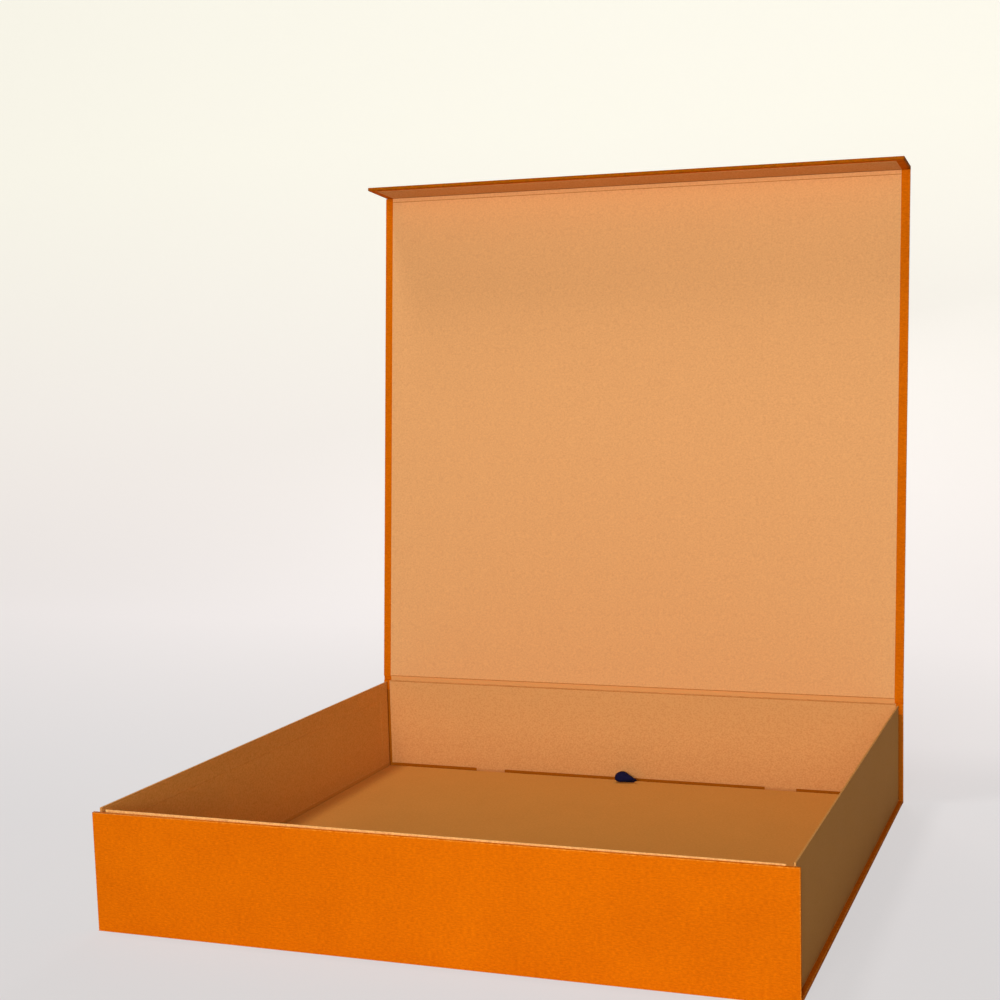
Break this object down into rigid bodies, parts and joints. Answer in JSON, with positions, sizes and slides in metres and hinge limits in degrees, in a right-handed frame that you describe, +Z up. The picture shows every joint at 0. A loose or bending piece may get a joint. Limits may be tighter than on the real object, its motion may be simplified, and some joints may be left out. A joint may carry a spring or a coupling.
{
  "type": "collapsible storage box",
  "caption": "Collapsible keepsake box: book-style lid with closing flap on a hinged back, folding walls and a lift-out false bottom.",
  "frame": {"origin": "on the ground under the middle of the base", "axes": "+Z up, +Y towards the back wall that carries the lid, +X to the right seen from the front"},
  "size_m": [0.4, 0.4023, 0.4462],
  "materials": {
    "greyboard": "matte",
    "cover_paper": "satin",
    "lining_paper": "matte",
    "side_paper": "matte",
    "ribbon": "satin",
    "disc_steel": "satin"
  },
  "bodies": {
    "base": {"base_board": "greyboard", "base_cover": "cover_paper", "base_lining": "lining_paper", "side_sill_left": "greyboard", "side_sill_right": "greyboard"},
    "front_wall": {"front_board": "greyboard", "front_cover": "cover_paper", "front_liner": "lining_paper", "front_discs": "disc_steel"},
    "back_wall": {"back_board": "greyboard", "back_cover": "cover_paper", "back_liner": "lining_paper", "lid_crease_cover": "cover_paper", "lid_crease_lining": "lining_paper"},
    "lid": {"lid_board": "greyboard", "lid_cover": "cover_paper", "lid_lining": "lining_paper", "flap_crease_cover": "cover_paper", "flap_crease_lining": "lining_paper"},
    "flap": {"flap_board": "greyboard", "flap_cover": "cover_paper", "flap_lining": "lining_paper", "flap_magnets": "disc_steel"},
    "side_wall_left": {"side_board_left": "greyboard", "side_cover_left": "side_paper", "side_lining_left": "lining_paper", "side_crease_left": "lining_paper"},
    "side_wall_right": {"side_board_right": "greyboard", "side_cover_right": "side_paper", "side_lining_right": "lining_paper", "side_crease_right": "lining_paper"},
    "false_bottom": {"floor_board": "greyboard", "floor_lining": "lining_paper", "ribbon_pull": "ribbon"}
  },
  "joints": [
    {"name": "front_wall_fold", "type": "hinge", "parent": "base", "child": "front_wall", "pos_m": [0, -0.184, 0], "axis": [1, 0, 0], "range_deg": [0, 90]},
    {"name": "back_wall_fold", "type": "hinge", "parent": "base", "child": "back_wall", "pos_m": [0, 0.184, 0], "axis": [1, 0, 0], "range_deg": [-85.5, 0]},
    {"name": "lid_hinge", "type": "hinge", "parent": "back_wall", "child": "lid", "pos_m": [0, 0.184, 0.0738], "axis": [-1, 0, 0], "range_deg": [-95.3, 94.7], "deforming": ["lid_crease_cover", "lid_crease_lining"]},
    {"name": "flap_hinge", "type": "hinge", "parent": "lid", "child": "flap", "pos_m": [0, 0.21826, 0.44311], "axis": [-1, 0, 0], "range_deg": [0, 90], "deforming": ["flap_crease_cover", "flap_crease_lining"]},
    {"name": "side_fold_left", "type": "hinge", "parent": "base", "child": "side_wall_left", "pos_m": [-0.1958, 0, 0.0048], "axis": [0, 1, 0], "range_deg": [0, 90], "deforming": ["side_crease_left"]},
    {"name": "side_fold_right", "type": "hinge", "parent": "base", "child": "side_wall_right", "pos_m": [0.1958, 0, 0.0048], "axis": [0, -1, 0], "range_deg": [0, 90], "deforming": ["side_crease_right"]},
    {"name": "false_bottom_lift", "type": "slide", "parent": "base", "child": "false_bottom", "axis": [0, 0, 1], "range_m": [0, 0.08]}
  ]
}
